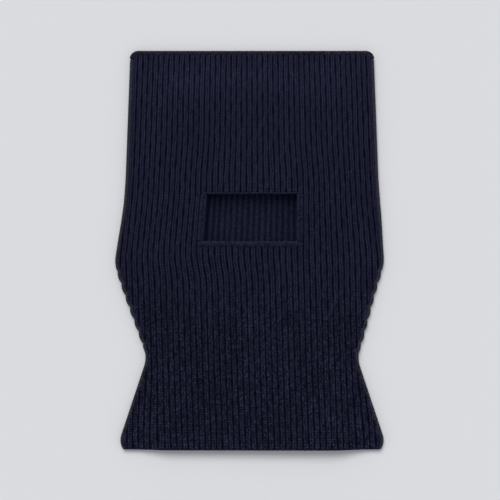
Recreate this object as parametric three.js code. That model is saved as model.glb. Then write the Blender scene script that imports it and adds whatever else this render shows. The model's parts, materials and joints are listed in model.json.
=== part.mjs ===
import * as THREE from "three";
import { mergeVertices } from "three/addons/utils/BufferGeometryUtils.js";

// A knitted ski balaclava lying flat on its back panel, face side up, its crown towards +Y and its hem
// towards -Y. Two panels of thick two-by-two rib are linked down both sides and across the crown, the face
// opening is edged all round, and the hem is left open as the neck.
// Millimetres, +Z up. The origin is on the floor, under the middle of the garment.

// Outline of the whole garment, measured flat
const LENGTH = 378;
const CROWN_WIDTH = 231;
const CHEEK_WIDTH = 241;
const JAW_WIDTH = 256;
const NECK_WIDTH = 199.5;
const HEM_WIDTH = 254;
const CHEEK_HEIGHT = 245;
const JAW_HEIGHT = 177;
const NECK_HEIGHT = 87;
const CROWN_RADIUS = 6;
const CHEEK_RADIUS = 300;
const JAW_RADIUS = 22;
const NECK_RADIUS = 26;
const HEM_CHAMFER = 5;
const HEM_RADIUS = 14;

// The knit and the room that it leaves for the head
const KNIT = 3.2;
const CLEARANCE = 0.3;
const HEAD_ROOM = 7.5;
const ROOM_RISE = 48;

// Seams, welts and the edging of the face opening
const SEAM_WIDTH = 4;
const SEAM_ROUNDING = 1.2;
const MOST_ROUNDING = 1 / 3;
const WELT_DEPTH = 6;
const WELT_EXTRA = 0.5;
const OPENING_WIDTH = 85;
const OPENING_HEIGHT = 45;
const OPENING_FLARE = 4;
const OPENING_BOTTOM = 197;
const BOUND_OFF = 4.5;
const CAST_ON = 2.2;
const SIDE_BAND = 5.5;
const EDGING_EXTRA = 0.6;

// The blank label sewn inside the back of the neck
const LABEL_WIDTH = 42;
const LABEL_LENGTH = 18;
const LABEL_THICKNESS = 0.6;
const LABEL_MARGIN = 8;

// How finely the curved faces are divided
const ROW_STEP = 9;
const COLUMNS_PER_SIDE = 12;
const ARC_STEP = 0.22;

const NAVY = 0x171a2c;
const LABEL_GREY = 0x8d8f96;
const ROUGH_KNIT = 0.95;
const SMOOTH_RIBBON = 0.6;

const rise = (t) => THREE.MathUtils.smootherstep(t, 0, 1);
const lerp = THREE.MathUtils.lerp;

// One rounded corner: the arc that touches both sides of the corner, in short steps.
function corner(before, at, after, radius) {
  const back = before.clone().sub(at).normalize();
  const on = after.clone().sub(at).normalize();
  const half = Math.acos(THREE.MathUtils.clamp(back.dot(on), -1, 1)) / 2;
  const reach = radius / Math.tan(half);
  const middle = back.clone().add(on).normalize();
  const centre = at.clone().addScaledVector(middle, radius / Math.sin(half));
  const start = at.clone().addScaledVector(back, reach).sub(centre);
  const end = at.clone().addScaledVector(on, reach).sub(centre);
  const turn = Math.atan2(start.cross(end), start.dot(end));
  const steps = Math.max(1, Math.ceil(Math.abs(turn) / ARC_STEP));
  const origin = new THREE.Vector2();
  return Array.from({ length: steps + 1 }, (_, i) =>
    start.clone().rotateAround(origin, (turn * i) / steps).add(centre));
}

// The right-hand outline from the hem up to the crown, as points of half-width and height above the hem.
function sideOutline() {
  const corners = [
    new THREE.Vector2(HEM_WIDTH / 2 - HEM_CHAMFER, 0),
    new THREE.Vector2(HEM_WIDTH / 2, HEM_CHAMFER),
    new THREE.Vector2(NECK_WIDTH / 2, NECK_HEIGHT),
    new THREE.Vector2(JAW_WIDTH / 2, JAW_HEIGHT),
    new THREE.Vector2(CHEEK_WIDTH / 2, CHEEK_HEIGHT),
    new THREE.Vector2(CROWN_WIDTH / 2, LENGTH),
    new THREE.Vector2(0, LENGTH),
  ];
  const radii = [HEM_RADIUS, NECK_RADIUS, JAW_RADIUS, CHEEK_RADIUS, CROWN_RADIUS];
  const bends = radii.flatMap((radius, i) => corner(corners[i], corners[i + 1], corners[i + 2], radius));
  return [corners[0], ...bends];
}

const OUTLINE = sideOutline();

// The half-width of the garment at a height above the hem.
function halfWidth(height) {
  const next = OUTLINE.findIndex((p) => p.y >= height);
  if (next === 0) return OUTLINE[0].x;
  if (next < 0) return OUTLINE.at(-1).x;
  const [low, high] = [OUTLINE[next - 1], OUTLINE[next]];
  return lerp(low.x, high.x, (height - low.y) / (high.y - low.y));
}

// Heights from one to another, holding every bend of the outline and every height that is asked for.
function heights(low, high, extra = []) {
  const bends = OUTLINE.map((p) => p.y).filter((y) => y > low + CLEARANCE && y < high - CLEARANCE);
  const stops = [low, high, ...extra, ...bends].sort((a, b) => a - b);
  const wanted = [low, high, ...extra];
  const kept = stops.filter((y, i) => wanted.includes(y) || y - stops[i - 1] > CLEARANCE);
  return kept.flatMap((y, i) => {
    if (i === 0) return [y];
    const steps = Math.max(1, Math.round((y - kept[i - 1]) / ROW_STEP));
    return Array.from({ length: steps }, (_, k) => lerp(kept[i - 1], y, (k + 1) / steps));
  });
}

// How far the front panel's inner face stands above the back panel's, at a place in the garment. It lies on
// it at the seams and at the crown, and stands clear of it where the head goes.
function headRoom(x, height) {
  const fromSide = (halfWidth(height) - SEAM_WIDTH - Math.abs(x)) / ROOM_RISE;
  const fromCrown = (LENGTH - SEAM_WIDTH - height) / ROOM_RISE;
  return CLEARANCE + HEAD_ROOM * rise(fromSide) * rise(fromCrown);
}

const frontLow = (x, height) => KNIT + headRoom(x, height);

// A closed body from a grid of cells. Each corner of the grid has a place and a lower and an upper face; the
// cells that are left out are holes right through it, and every open side gets a wall.
function slab(rows, columns, place, low, high, isCell = () => true) {
  const positions = [];
  const index = [];
  const at = (layer, r, c) => (layer * rows + r) * columns + c;
  for (const face of [low, high]) {
    for (let r = 0; r < rows; r += 1) {
      for (let c = 0; c < columns; c += 1) {
        const [x, y] = place(r, c);
        positions.push(x, y - LENGTH / 2, face(x, y));
      }
    }
  }
  const cell = (r, c) => r >= 0 && c >= 0 && r < rows - 1 && c < columns - 1 && isCell(r, c);
  const quad = (a, b, c, d) => index.push(a, b, c, a, c, d);
  for (let r = 0; r < rows - 1; r += 1) {
    for (let c = 0; c < columns - 1; c += 1) {
      if (!cell(r, c)) continue;
      quad(at(0, r, c), at(0, r + 1, c), at(0, r + 1, c + 1), at(0, r, c + 1));
      quad(at(1, r, c), at(1, r, c + 1), at(1, r + 1, c + 1), at(1, r + 1, c));
      if (!cell(r - 1, c)) quad(at(0, r, c), at(0, r, c + 1), at(1, r, c + 1), at(1, r, c));
      if (!cell(r + 1, c)) quad(at(0, r + 1, c + 1), at(0, r + 1, c), at(1, r + 1, c), at(1, r + 1, c + 1));
      if (!cell(r, c - 1)) quad(at(0, r + 1, c), at(0, r, c), at(1, r, c), at(1, r + 1, c));
      if (!cell(r, c + 1)) quad(at(0, r, c + 1), at(0, r + 1, c + 1), at(1, r + 1, c + 1), at(1, r, c + 1));
    }
  }
  return closed(positions, index);
}

// A geometry from points and triangles, without the points that no triangle uses.
function closed(positions, index) {
  const geometry = new THREE.BufferGeometry();
  geometry.setAttribute("position", new THREE.Float32BufferAttribute(positions, 3));
  geometry.setIndex(index);
  const merged = mergeVertices(geometry.toNonIndexed());
  merged.computeVertexNormals();
  return merged;
}

// A closed bar from a row of sections, each of them the same number of points, counter-clockwise when it is
// looked at from the end that the bar goes towards.
function bar(sections) {
  const count = sections[0].length;
  const positions = sections.flat(2);
  const index = [];
  const last = (sections.length - 1) * count;
  for (let i = 1; i < count - 1; i += 1) {
    index.push(0, i + 1, i);
    index.push(last, last + i, last + i + 1);
  }
  for (let s = 0; s < sections.length - 1; s += 1) {
    for (let i = 0; i < count; i += 1) {
      const a = s * count + i;
      const b = s * count + ((i + 1) % count);
      index.push(a, b, b + count, a, b + count, a + count);
    }
  }
  return closed(positions, index);
}

// The rounded box that a seam shows when it is cut across: points of [across, up].
function roundedSection(from, to, low, high) {
  const cut = Math.min(SEAM_ROUNDING, MOST_ROUNDING * (to - from), MOST_ROUNDING * (high - low));
  return [
    [from + cut, low], [to - cut, low], [to, low + cut], [to, high - cut],
    [to - cut, high], [from + cut, high], [from, high - cut], [from, low + cut],
  ];
}

// The largest half-width that a panel has at a height, inside the side seams.
const panelEdge = (height) => halfWidth(height) - SEAM_WIDTH - CLEARANCE;
const PANEL_TOP = LENGTH - SEAM_WIDTH - CLEARANCE;
const PANEL_BOTTOM = WELT_DEPTH + CLEARANCE;

// The face opening, as it is cut in the front panel before it is edged: its half-width at a height.
const OPENING_TOP = OPENING_BOTTOM + OPENING_HEIGHT;
const CUT_BOTTOM = OPENING_BOTTOM - BOUND_OFF - CLEARANCE;
const CUT_TOP = OPENING_TOP + CAST_ON + CLEARANCE;

function openingHalfWidth(height) {
  const up = THREE.MathUtils.clamp((height - OPENING_BOTTOM) / OPENING_HEIGHT, 0, 1);
  return lerp(OPENING_WIDTH + OPENING_FLARE, OPENING_WIDTH, up) / 2;
}

const cutHalfWidth = (height) => openingHalfWidth(height) + SIDE_BAND + CLEARANCE;

// The front panel: a shell one knit thick that rises over the head's space, with the cut for the face.
function frontPanel() {
  const rows = heights(PANEL_BOTTOM, PANEL_TOP, [CUT_BOTTOM, OPENING_BOTTOM, OPENING_TOP, CUT_TOP]);
  const side = COLUMNS_PER_SIDE / 2;
  const columns = 4 * side + 1;
  const place = (r, c) => {
    const y = rows[r];
    const k = Math.abs(c - 2 * side);
    const hole = cutHalfWidth(y);
    const x = k <= side ? (hole * k) / side : lerp(hole, panelEdge(y), (k - side) / side);
    return [Math.sign(c - 2 * side) * x, y];
  };
  const inCut = (r, c) => rows[r] > CUT_BOTTOM - CLEARANCE && rows[r + 1] < CUT_TOP + CLEARANCE
    && c >= side && c < 3 * side;
  const high = (x, y) => frontLow(x, y) + KNIT;
  return slab(rows.length, columns, place, frontLow, high, (r, c) => !inCut(r, c));
}

// The back panel: one knit thick and flat, because the garment lies on it.
function backPanel() {
  const right = heights(PANEL_BOTTOM, PANEL_TOP).map((y) => new THREE.Vector2(panelEdge(y), y - LENGTH / 2));
  const left = right.map((p) => new THREE.Vector2(-p.x, p.y)).reverse();
  return plate(new THREE.Shape([...right, ...left]), 0, KNIT);
}

// A flat plate of a shape, from one height to another.
function plate(shape, low, high) {
  const geometry = new THREE.ExtrudeGeometry(shape, { depth: high - low, bevelEnabled: false });
  geometry.translate(0, 0, low);
  return geometry;
}

// A side seam: the linked edges of both panels, a rounded ridge that follows the outline.
function sideSeam(side) {
  const top = 2 * KNIT + CLEARANCE;
  const sections = heights(0, PANEL_TOP).map((y) => {
    const outer = halfWidth(y);
    const points = roundedSection(outer - SEAM_WIDTH, outer, 0, top);
    const turned = side > 0 ? points.reverse() : points;
    return turned.map(([across, up]) => [side * across, y - LENGTH / 2, up]);
  });
  return bar(sections);
}

// The crown seam: the same linking, straight across the top and rounded down at both corners.
function crownSeam() {
  const top = 2 * KNIT + CLEARANCE;
  const corners = OUTLINE.filter((p) => p.y > LENGTH - SEAM_WIDTH + SEAM_ROUNDING);
  const ends = corners.map((p) => [p.x, p.y]);
  const across = [...ends.map(([x, y]) => [-x, y]), ...ends.reverse()];
  const sections = across.map(([x, y]) => {
    const points = roundedSection(LENGTH - SEAM_WIDTH, y, 0, top);
    return points.map(([along, up]) => [x, along - LENGTH / 2, up]);
  });
  return bar(sections);
}

// A hem welt: the folded first courses at the neck's edge, a little thicker than the panel it belongs to.
function hemWelt(low, high) {
  const rows = heights(0, WELT_DEPTH);
  const columns = 2 * COLUMNS_PER_SIDE + 1;
  const place = (r, c) => [(panelEdge(rows[r]) * (c - COLUMNS_PER_SIDE)) / COLUMNS_PER_SIDE, rows[r]];
  return slab(rows.length, columns, place, low, high);
}

// The lower and upper faces of the edging: a little proud of the front panel on both sides.
const edgingLow = (x, y) => frontLow(x, y) - EDGING_EXTRA / 2;
const edgingHigh = (x, y) => frontLow(x, y) + KNIT + EDGING_EXTRA / 2;

// The edging above or below the face opening, from corner to corner of the cut.
function openingEdgeAcross(low, depth) {
  const rows = [low, low + depth];
  const columns = COLUMNS_PER_SIDE + 1;
  const reach = (y) => cutHalfWidth(y) - CLEARANCE;
  const place = (r, c) => [reach(rows[r]) * ((2 * c) / COLUMNS_PER_SIDE - 1), rows[r]];
  return slab(rows.length, columns, place, edgingLow, edgingHigh);
}

// The flat band down one side of the face opening, between the two edgings that run across.
function openingEdgeUpright(side) {
  const bottom = OPENING_BOTTOM + CLEARANCE;
  const top = OPENING_TOP - CLEARANCE;
  const steps = Math.max(2, Math.round((top - bottom) / ROW_STEP));
  const rows = Array.from({ length: steps + 1 }, (_, i) => lerp(bottom, top, i / steps));
  const place = (r, c) => {
    const inner = openingHalfWidth(rows[r]);
    const across = side > 0 ? inner + SIDE_BAND * c : inner + SIDE_BAND * (1 - c);
    return [side * across, rows[r]];
  };
  return slab(rows.length, 2, place, edgingLow, edgingHigh);
}

// The neck label: a blank patch sewn flat to the inside of the back panel, just above the hem welt.
function neckLabel() {
  const geometry = new THREE.BoxGeometry(LABEL_WIDTH, LABEL_LENGTH, LABEL_THICKNESS);
  const height = PANEL_BOTTOM + LABEL_MARGIN + LABEL_LENGTH / 2;
  geometry.translate(0, height - LENGTH / 2, KNIT + CLEARANCE + LABEL_THICKNESS / 2);
  return geometry;
}

const garment = new THREE.Group();

function add(name, geometry, color = NAVY, roughness = ROUGH_KNIT) {
  const mesh = new THREE.Mesh(geometry, new THREE.MeshStandardMaterial({ color, roughness, metalness: 0 }));
  mesh.name = name;
  garment.add(mesh);
}

add("front_panel", frontPanel());
add("back_panel", backPanel());
add("left_side_seam", sideSeam(-1));
add("right_side_seam", sideSeam(1));
add("crown_seam", crownSeam());
add("front_hem_welt", hemWelt(frontLow, (x, y) => frontLow(x, y) + KNIT + WELT_EXTRA));
add("back_hem_welt", hemWelt(() => 0, () => KNIT));
add("opening_edge_top", openingEdgeAcross(OPENING_TOP, CAST_ON));
add("opening_edge_bottom", openingEdgeAcross(OPENING_BOTTOM - BOUND_OFF, BOUND_OFF));
add("opening_edge_left", openingEdgeUpright(-1));
add("opening_edge_right", openingEdgeUpright(1));
add("neck_label", neckLabel(), LABEL_GREY, SMOOTH_RIBBON);

export default garment;
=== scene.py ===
# %% [markdown]
# # A knitted ski balaclava, laid flat
# The garment is two panels of thick two-by-two rib, linked down both sides and across the crown, with one
# wide face opening and an open hem. It could be sculpted by hand, or draped by a cloth simulation. Knitting
# is so regular that a few formulas do it better: they put every stitch where it belongs, and they say how
# it is made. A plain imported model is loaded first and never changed. It says where everything is, and each
# piece made here takes its place from it.

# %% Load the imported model
import json
import bmesh
import bpy
import numpy as np
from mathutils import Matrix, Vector

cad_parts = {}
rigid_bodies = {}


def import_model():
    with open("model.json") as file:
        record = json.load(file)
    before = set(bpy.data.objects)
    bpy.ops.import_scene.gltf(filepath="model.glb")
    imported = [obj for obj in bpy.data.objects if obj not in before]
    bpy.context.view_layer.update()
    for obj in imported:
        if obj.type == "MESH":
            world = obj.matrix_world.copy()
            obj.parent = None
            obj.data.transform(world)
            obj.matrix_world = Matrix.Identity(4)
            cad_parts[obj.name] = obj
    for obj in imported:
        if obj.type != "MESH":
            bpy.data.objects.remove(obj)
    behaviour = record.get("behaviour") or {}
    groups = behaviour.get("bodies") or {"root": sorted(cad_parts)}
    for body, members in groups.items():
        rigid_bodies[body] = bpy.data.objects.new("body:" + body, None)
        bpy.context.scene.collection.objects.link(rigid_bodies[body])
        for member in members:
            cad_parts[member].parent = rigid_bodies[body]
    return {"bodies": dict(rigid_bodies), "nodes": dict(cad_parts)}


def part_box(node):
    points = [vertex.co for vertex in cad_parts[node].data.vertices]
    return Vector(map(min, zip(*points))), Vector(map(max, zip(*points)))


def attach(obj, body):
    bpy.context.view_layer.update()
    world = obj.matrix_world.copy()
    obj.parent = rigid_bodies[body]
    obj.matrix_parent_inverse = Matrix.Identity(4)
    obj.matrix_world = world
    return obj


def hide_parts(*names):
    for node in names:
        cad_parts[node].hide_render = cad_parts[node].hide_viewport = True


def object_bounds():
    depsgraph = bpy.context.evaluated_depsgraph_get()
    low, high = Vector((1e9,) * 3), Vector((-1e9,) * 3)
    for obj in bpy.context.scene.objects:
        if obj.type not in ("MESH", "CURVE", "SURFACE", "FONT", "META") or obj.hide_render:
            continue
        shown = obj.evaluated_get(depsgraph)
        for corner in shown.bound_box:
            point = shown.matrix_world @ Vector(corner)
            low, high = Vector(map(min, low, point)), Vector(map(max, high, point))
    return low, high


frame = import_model()
cad_low, cad_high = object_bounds()
MM = 0.001
BODY = next(iter(frame["bodies"]))
print("nodes:", sorted(frame["nodes"]), "body:", BODY)

# %% [markdown]
# ## Reading the sizes
# A cutter works from a pattern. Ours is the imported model: the side seam's corners give the outline of the
# garment, and the boxes of the panels give the thickness of the knit and the room left for the head. The
# sizes could be typed in again here, but then the cloth would stay behind when the model's sizes change.

# %% Measure the pattern
LEVEL_DIGITS = 5


def node_points(name):
    """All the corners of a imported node, as rows of x, y, z."""
    mesh = frame["nodes"][name].data
    points = np.empty(len(mesh.vertices) * 3)
    mesh.vertices.foreach_get("co", points)
    return points.reshape(-1, 3)


def read_outline():
    """Heights above the hem, and the garment's half-width at each, from the right seam's outer corners."""
    points = node_points("right_side_seam")
    level = np.round(points[:, 1] - HEM, LEVEL_DIGITS)
    heights = np.unique(level)
    widest = np.array([points[level == h, 0].max() for h in heights])
    return heights, widest


HEM = cad_low.y
LENGTH = cad_high.y - cad_low.y
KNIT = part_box("back_panel")[1].z
PANEL_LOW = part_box("front_panel")[0].z
PANEL_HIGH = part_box("front_panel")[1].z
PANEL_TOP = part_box("front_panel")[1].y - HEM
CLEARANCE = PANEL_LOW - KNIT
HEAD_ROOM = PANEL_HIGH - KNIT - PANEL_LOW
SEAM_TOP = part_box("crown_seam")[1].z
SEAM_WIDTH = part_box("crown_seam")[1].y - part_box("crown_seam")[0].y
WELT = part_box("front_hem_welt")[1].y - HEM
OUTLINE_HEIGHTS, OUTLINE_WIDTHS = read_outline()
print("length", round(LENGTH, 4), "knit", round(KNIT, 4), "outline of", len(OUTLINE_HEIGHTS), "heights")

# %% [markdown]
# ## Neck and jaw
# The garment is narrowest at the neck and widest at the jaw, and the knitting changes at both. They could
# be given as numbers, but the outline knows them already, so they are looked up in it.

# %% Find the neck and the jaw
LEVEL_COUNT = 1500


def half_width(height):
    """Half of the garment's width at a height above the hem: straight lines join the outline's corners."""
    return np.interp(height, OUTLINE_HEIGHTS, OUTLINE_WIDTHS)


levels = np.linspace(0, LENGTH, LEVEL_COUNT)
NECK = levels[np.argmin(half_width(levels))]
JAW = levels[levels > NECK][np.argmax(half_width(levels[levels > NECK]))]
print("neck at", round(NECK, 4), "jaw at", round(JAW, 4))

# %% [markdown]
# ## Not laid down quite straight
# Cloth that a hand has laid down never lies as straight as its pattern. Here the jaw sits a little to the
# left of the crown and the hem, so the middle between the two side seams strays, while the ribs stay
# upright. A lattice could bend the finished garment, but it would bend the ribs too, so the middle is a
# function of height.

# %% The middle line
SWAY = 2.6 * MM
SWAY_BELOW_JAW = 13 * MM
SWAY_REACH = 75 * MM


def middle(height):
    """Where the middle between the side seams is at a height: (1 + cos) / 2 on both sides of its peak."""
    away = np.clip(np.abs(height - JAW + SWAY_BELOW_JAW) / SWAY_REACH, 0, 1)
    return -SWAY * (1 + np.cos(np.pi * away)) / 2


print("at the jaw the middle strays", round(float(middle(JAW)) / MM, 2), "mm")

# %% [markdown]
# ## The camera
# The garment lies on its back and is looked at from straight above, crown up. A short lens close by would
# make the raised middle look bigger than the rims. A long lens, further away, keeps the flat cloth true to
# its shape.

# %% Camera
FRAME_WIDTH = 470.5 * MM
CAMERA_ASIDE = -1.9 * MM
LENS = 100
SENSOR = 36
camera_data = bpy.data.cameras.new("camera")
camera_data.lens = LENS
camera_data.sensor_width = SENSOR
camera = bpy.data.objects.new("camera", camera_data)
bpy.context.scene.collection.objects.link(camera)
camera.location = (CAMERA_ASIDE, 0, FRAME_WIDTH * LENS / SENSOR + PANEL_HIGH)
bpy.context.scene.camera = camera
print("camera height", round(camera.location.z, 3))

# %% [markdown]
# ## From arrays to a mesh
# A plane could be subdivided and its points pushed about, with modifiers or by hand. Here every surface is
# worked out as whole arrays instead: places first, then triangles that join them. This helper turns such
# arrays into a smooth-shaded object. Its UV map counts stitches, so that the yarn's finish can follow the
# knitting, and it prints whether each edge is shared by just two triangles, which is what makes a mesh
# closed.

# %% A piece from arrays
def make_piece(name, places, triangles, knit_uv, relief):
    """A closed smooth mesh from places and triangles. Its UV map Knit counts ribs and courses, and its
    attribute relief is 1 on top of a wale and 0 at the bottom of a furrow: it is the share of the lit
    colour, so the furrows get a painted shade. Triangles that use a point twice are left out, so points may
    be shared where a surface comes to an edge or a pole."""
    triangles = triangles[(triangles[:, 0] != triangles[:, 1]) & (triangles[:, 1] != triangles[:, 2])
                          & (triangles[:, 0] != triangles[:, 2])]
    used, compact = np.unique(triangles, return_inverse=True)
    compact = compact.reshape(-1, 3)
    mesh = bpy.data.meshes.new(name)
    mesh.from_pydata(places[used], [], compact)
    solid = bmesh.new()
    solid.from_mesh(mesh)
    bmesh.ops.recalc_face_normals(solid, faces=solid.faces)
    if solid.calc_volume(signed=True) < 0:
        bmesh.ops.reverse_faces(solid, faces=solid.faces)
    solid.to_mesh(mesh)
    solid.free()
    corners = np.empty(len(mesh.loops), np.int32)
    mesh.loops.foreach_get("vertex_index", corners)
    mesh.uv_layers.new(name="Knit").data.foreach_set("uv", knit_uv[used][corners].ravel())
    mesh.attributes.new("relief", "FLOAT", "POINT").data.foreach_set("value", relief[used])
    mesh.polygons.foreach_set("use_smooth", np.ones(len(mesh.polygons), bool))
    piece = bpy.data.objects.new(name, mesh)
    bpy.context.scene.collection.objects.link(piece)
    edges = np.sort(np.concatenate([compact[:, [0, 1]], compact[:, [1, 2]], compact[:, [2, 0]]]), axis=1)
    uses = np.unique(edges, axis=0, return_counts=True)[1]
    print(name, len(compact), "triangles, closed:", bool((uses == 2).all()))
    return piece


# %% [markdown]
# ## Filling and zipping
# A grid of points is filled with two triangles a cell. The two faces of the cloth have different numbers of
# points, because the reverse is smoother, so the wall between them can't be a grid. It is sewn like a zip
# that takes the next point from whichever side is behind.

# %% Grids and zips
def grid_triangles(ids, keep=None):
    """Two triangles for each cell of a grid of point numbers, without the cells where keep is false."""
    a, b, c, d = ids[:-1, :-1], ids[:-1, 1:], ids[1:, 1:], ids[1:, :-1]
    cells = np.stack([a, b, c, a, c, d], axis=-1)
    cells = cells.reshape(-1, 6) if keep is None else cells[keep]
    return cells.reshape(-1, 3)


def zip_edges(first, first_at, second, second_at):
    """Triangles between two rows of points that run the same way. Each step along either row makes one
    triangle with the point that the other row has reached by then."""
    step_first, step_second = first_at[1:], second_at[1:]
    partner = np.searchsorted(step_second, step_first, side="left")
    reached = np.searchsorted(step_first, step_second, side="right")
    one = np.stack([first[:-1], first[1:], second[np.minimum(partner, len(second) - 1)]], axis=1)
    two = np.stack([second[1:], second[:-1], first[np.minimum(reached, len(first) - 1)]], axis=1)
    return np.concatenate([one, two])


print("a grid of 3 by 4 points makes", len(grid_triangles(np.arange(12).reshape(3, 4))), "triangles")

# %% [markdown]
# ## How the ribs run
# Two-by-two rib is pairs of plain wales with a furrow after each pair. On the head the same ribs run from
# jaw to crown, a little closer together towards the top. Under the jaw the panel is narrowed, so ribs end
# one after another at its edge, and below the neck it is widened again. The hem was laid down leaning
# slightly to the right. Around the face opening the ribs are pushed aside. An array modifier could repeat
# one rib, but it could do none of that, and every layer of the cloth has to agree on it, so it is one
# function of rib number and height. These are the sizes it needs.

# %% Rib sizes
RIBS_TO_EDGE = 23.25
RIB_SPAN = 24
RIB_STOPS = np.array([0.0, 0.11, 0.27, 0.5, 0.73, 0.89])
EDGE_UNDER_SEAM = 1.6 * MM
LEAN = 5.0 * MM
LEAN_FROM = 180 * MM
LEAN_POWER = 1.3
FAN_RIBS = 3.0
FAN = 4.0 * MM
OPENING_RIBS = 9
PULL_ABOVE = 60 * MM
PULL_BELOW = 40 * MM
WANDER = 0.2 * MM
WANDER_WAVES = ((2.6 * MM, 2.4), (5.8 * MM, 4.1))

rib_numbers = (np.arange(-RIB_SPAN, RIB_SPAN)[:, None] + RIB_STOPS).ravel()
rib_numbers = np.append(rib_numbers, RIB_SPAN)
column_kind = np.arange(len(rib_numbers)) % len(RIB_STOPS)


def smooth(t):
    """Rises smoothly from 0 to 1 as t does: 6t^5 - 15t^4 + 10t^3."""
    t = np.clip(t, 0, 1)
    return t * t * t * (t * (6 * t - 15) + 10)


def rib_pitch(height):
    """From rib to rib: the edge's distance over the ribs up to it, held constant below the jaw."""
    return (half_width(np.maximum(height, JAW)) - EDGE_UNDER_SEAM) / RIBS_TO_EDGE


print("rib pitch", round(float(rib_pitch(JAW)) / MM, 2), "mm at the jaw,",
      round(float(rib_pitch(LENGTH)) / MM, 2), "mm at the crown")

# %% [markdown]
# ## The cut
# The knitter leaves out whole ribs and whole courses for the face opening. A Boolean could cut the hole
# afterwards, but it would leave ragged half stitches. So the cut is known before the ribs are placed, and
# they are led along its sides.

# %% Where the face opening is
CUT_ASIDE = 2.0 * MM
CAST_ON_SHOWS = 0.9 * MM
CUT_LOW = node_points("opening_edge_bottom")[:, 1].min() - HEM - CLEARANCE
CAST_ON_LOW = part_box("opening_edge_top")[0].y - HEM
CUT_HIGH = CAST_ON_LOW + CAST_ON_SHOWS
CUT_HALF_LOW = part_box("opening_edge_bottom")[1].x + CLEARANCE
CUT_HALF_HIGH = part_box("opening_edge_top")[1].x + CLEARANCE


def cut_half_width(height):
    """Half of the cut's width in the front panel, which is a little wider below than above."""
    return np.interp(height, [CUT_LOW, CUT_HIGH], [CUT_HALF_LOW, CUT_HALF_HIGH])


def cut_middle(height):
    """Where the middle of the cut is: its lower end was laid a little to the left of its upper end."""
    return np.interp(height, [CUT_LOW, CUT_HIGH], [-CUT_ASIDE, 0])


print("the cut runs from", round(float(CUT_LOW), 4), "to", round(float(CUT_HIGH), 4), "above the hem")

# %% [markdown]
# ## Placing the ribs
# Every rib starts at its number times the pitch. The lean of the hem, the fan below the neck and the push
# round the opening are added to that, and so is a small wander, because no knitted rib runs as straight as
# a ruler. A curve could be drawn for each rib instead, but then they wouldn't keep their distances.

# %% Rib places
def wander(rib, height):
    """How far a rib strays: WANDER times the sum of two sines of height, out of step from rib to rib."""
    return WANDER * sum(np.sin(height / length + rib * turn) for length, turn in WANDER_WAVES)


def rib_x(number, height):
    """Where a rib is across the panel. Its number times the pitch, plus the lean of the hem, the fan of the
    last ribs beside the widened hem, the push around the face opening and its own wander. A furrow lies
    between two ribs and takes the mean of theirs."""
    pitch = rib_pitch(height)
    away = np.abs(number)
    x = number * pitch
    lean = LEAN * np.clip(1 - height / LEAN_FROM, 0, 1) ** LEAN_POWER
    neck_ribs = half_width(NECK) / rib_pitch(NECK)
    fan = FAN * smooth((away - neck_ribs + FAN_RIBS) / FAN_RIBS) * smooth(1 - height / NECK)
    near = smooth(1 - (CUT_LOW - height) / PULL_BELOW) * smooth(1 - (height - CUT_HIGH) / PULL_ABOVE)
    push = (cut_half_width(height) - OPENING_RIBS * pitch) * near
    inside = np.clip(away / OPENING_RIBS, 0, 1)
    outside = np.clip((RIBS_TO_EDGE - away) / (RIBS_TO_EDGE - OPENING_RIBS), 0, 1)
    share = np.where(away < OPENING_RIBS, inside, outside)
    x = x + lean + np.sign(number) * (fan + push * share) + cut_middle(height) * near * outside
    free = np.clip(np.abs(away - OPENING_RIBS), 0, 1) * np.clip(RIBS_TO_EDGE - away, 0, 1)
    stray = (wander(np.floor(number), height) + wander(np.ceil(number) - 1, height)) / 2
    return x + stray * free


print("rib", OPENING_RIBS, "passes the cut at x =", round(float(rib_x(float(OPENING_RIBS), CUT_LOW)), 4))

# %% [markdown]
# ## How the cloth lies
# The back panel lies flat. The front one rests on it at the seams and at the crown and stands a few
# millimetres clear of it in between, because thick rib keeps some of the shape that the head gave it. A
# cloth simulation could find such a shape. A smooth rise from the edges is enough for a garment that lies
# almost flat, and it comes out the same every time. A slow unevenness keeps the light from falling the same
# everywhere.

# %% The lie of the front panel
ROOM_RISE = 48 * MM
UNEVEN = 0.8 * MM
SWELL_ACROSS, SWELL_UP, SWELL_SHIFT = 23 * MM, 31 * MM, 1.3
SLOW_ACROSS, SLOW_UP = 49 * MM, 37 * MM


def head_room(x, height):
    """The gap between the two panels: nothing at the side seams and the crown, HEAD_ROOM further in, and on
    top of that the product of two sines and a slower slanting one."""
    from_side = (half_width(height) - SEAM_WIDTH - np.abs(x - middle(height))) / ROOM_RISE
    from_crown = (LENGTH - SEAM_WIDTH - height) / ROOM_RISE
    rise = smooth(from_side) * smooth(from_crown)
    swell = np.sin(x / SWELL_ACROSS + SWELL_SHIFT) * np.sin(height / SWELL_UP)
    swell = swell + np.sin(x / SLOW_ACROSS - height / SLOW_UP)
    return CLEARANCE + rise * (HEAD_ROOM + UNEVEN * swell)


def front_low(x, height):
    """The front panel's inner face: the knit of the back panel, and the gap."""
    return KNIT + head_room(x, height)


print("at the jaw the panels are", round(float(head_room(0.0, JAW)) / MM, 1), "mm apart")

# %% [markdown]
# ## The relief of the rib
# Seen close to, each wale is a column of V-shaped stitches, and the furrow between two pairs is deep and
# narrow. Six columns of points carry one rib: furrow, shoulder, wale, groove, wale, shoulder. Two rows of
# points carry one course, and the wales' points are half a course out of step with the shoulders', which
# makes the V's. No two loops are drawn in quite alike. On the reverse a furrow becomes a rounded ridge and
# each pair of wales a hollow, so the cloth keeps its thickness. A bump map could fake all this from above,
# but the rims and the hem would stay smooth, so it is in the mesh.

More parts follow.
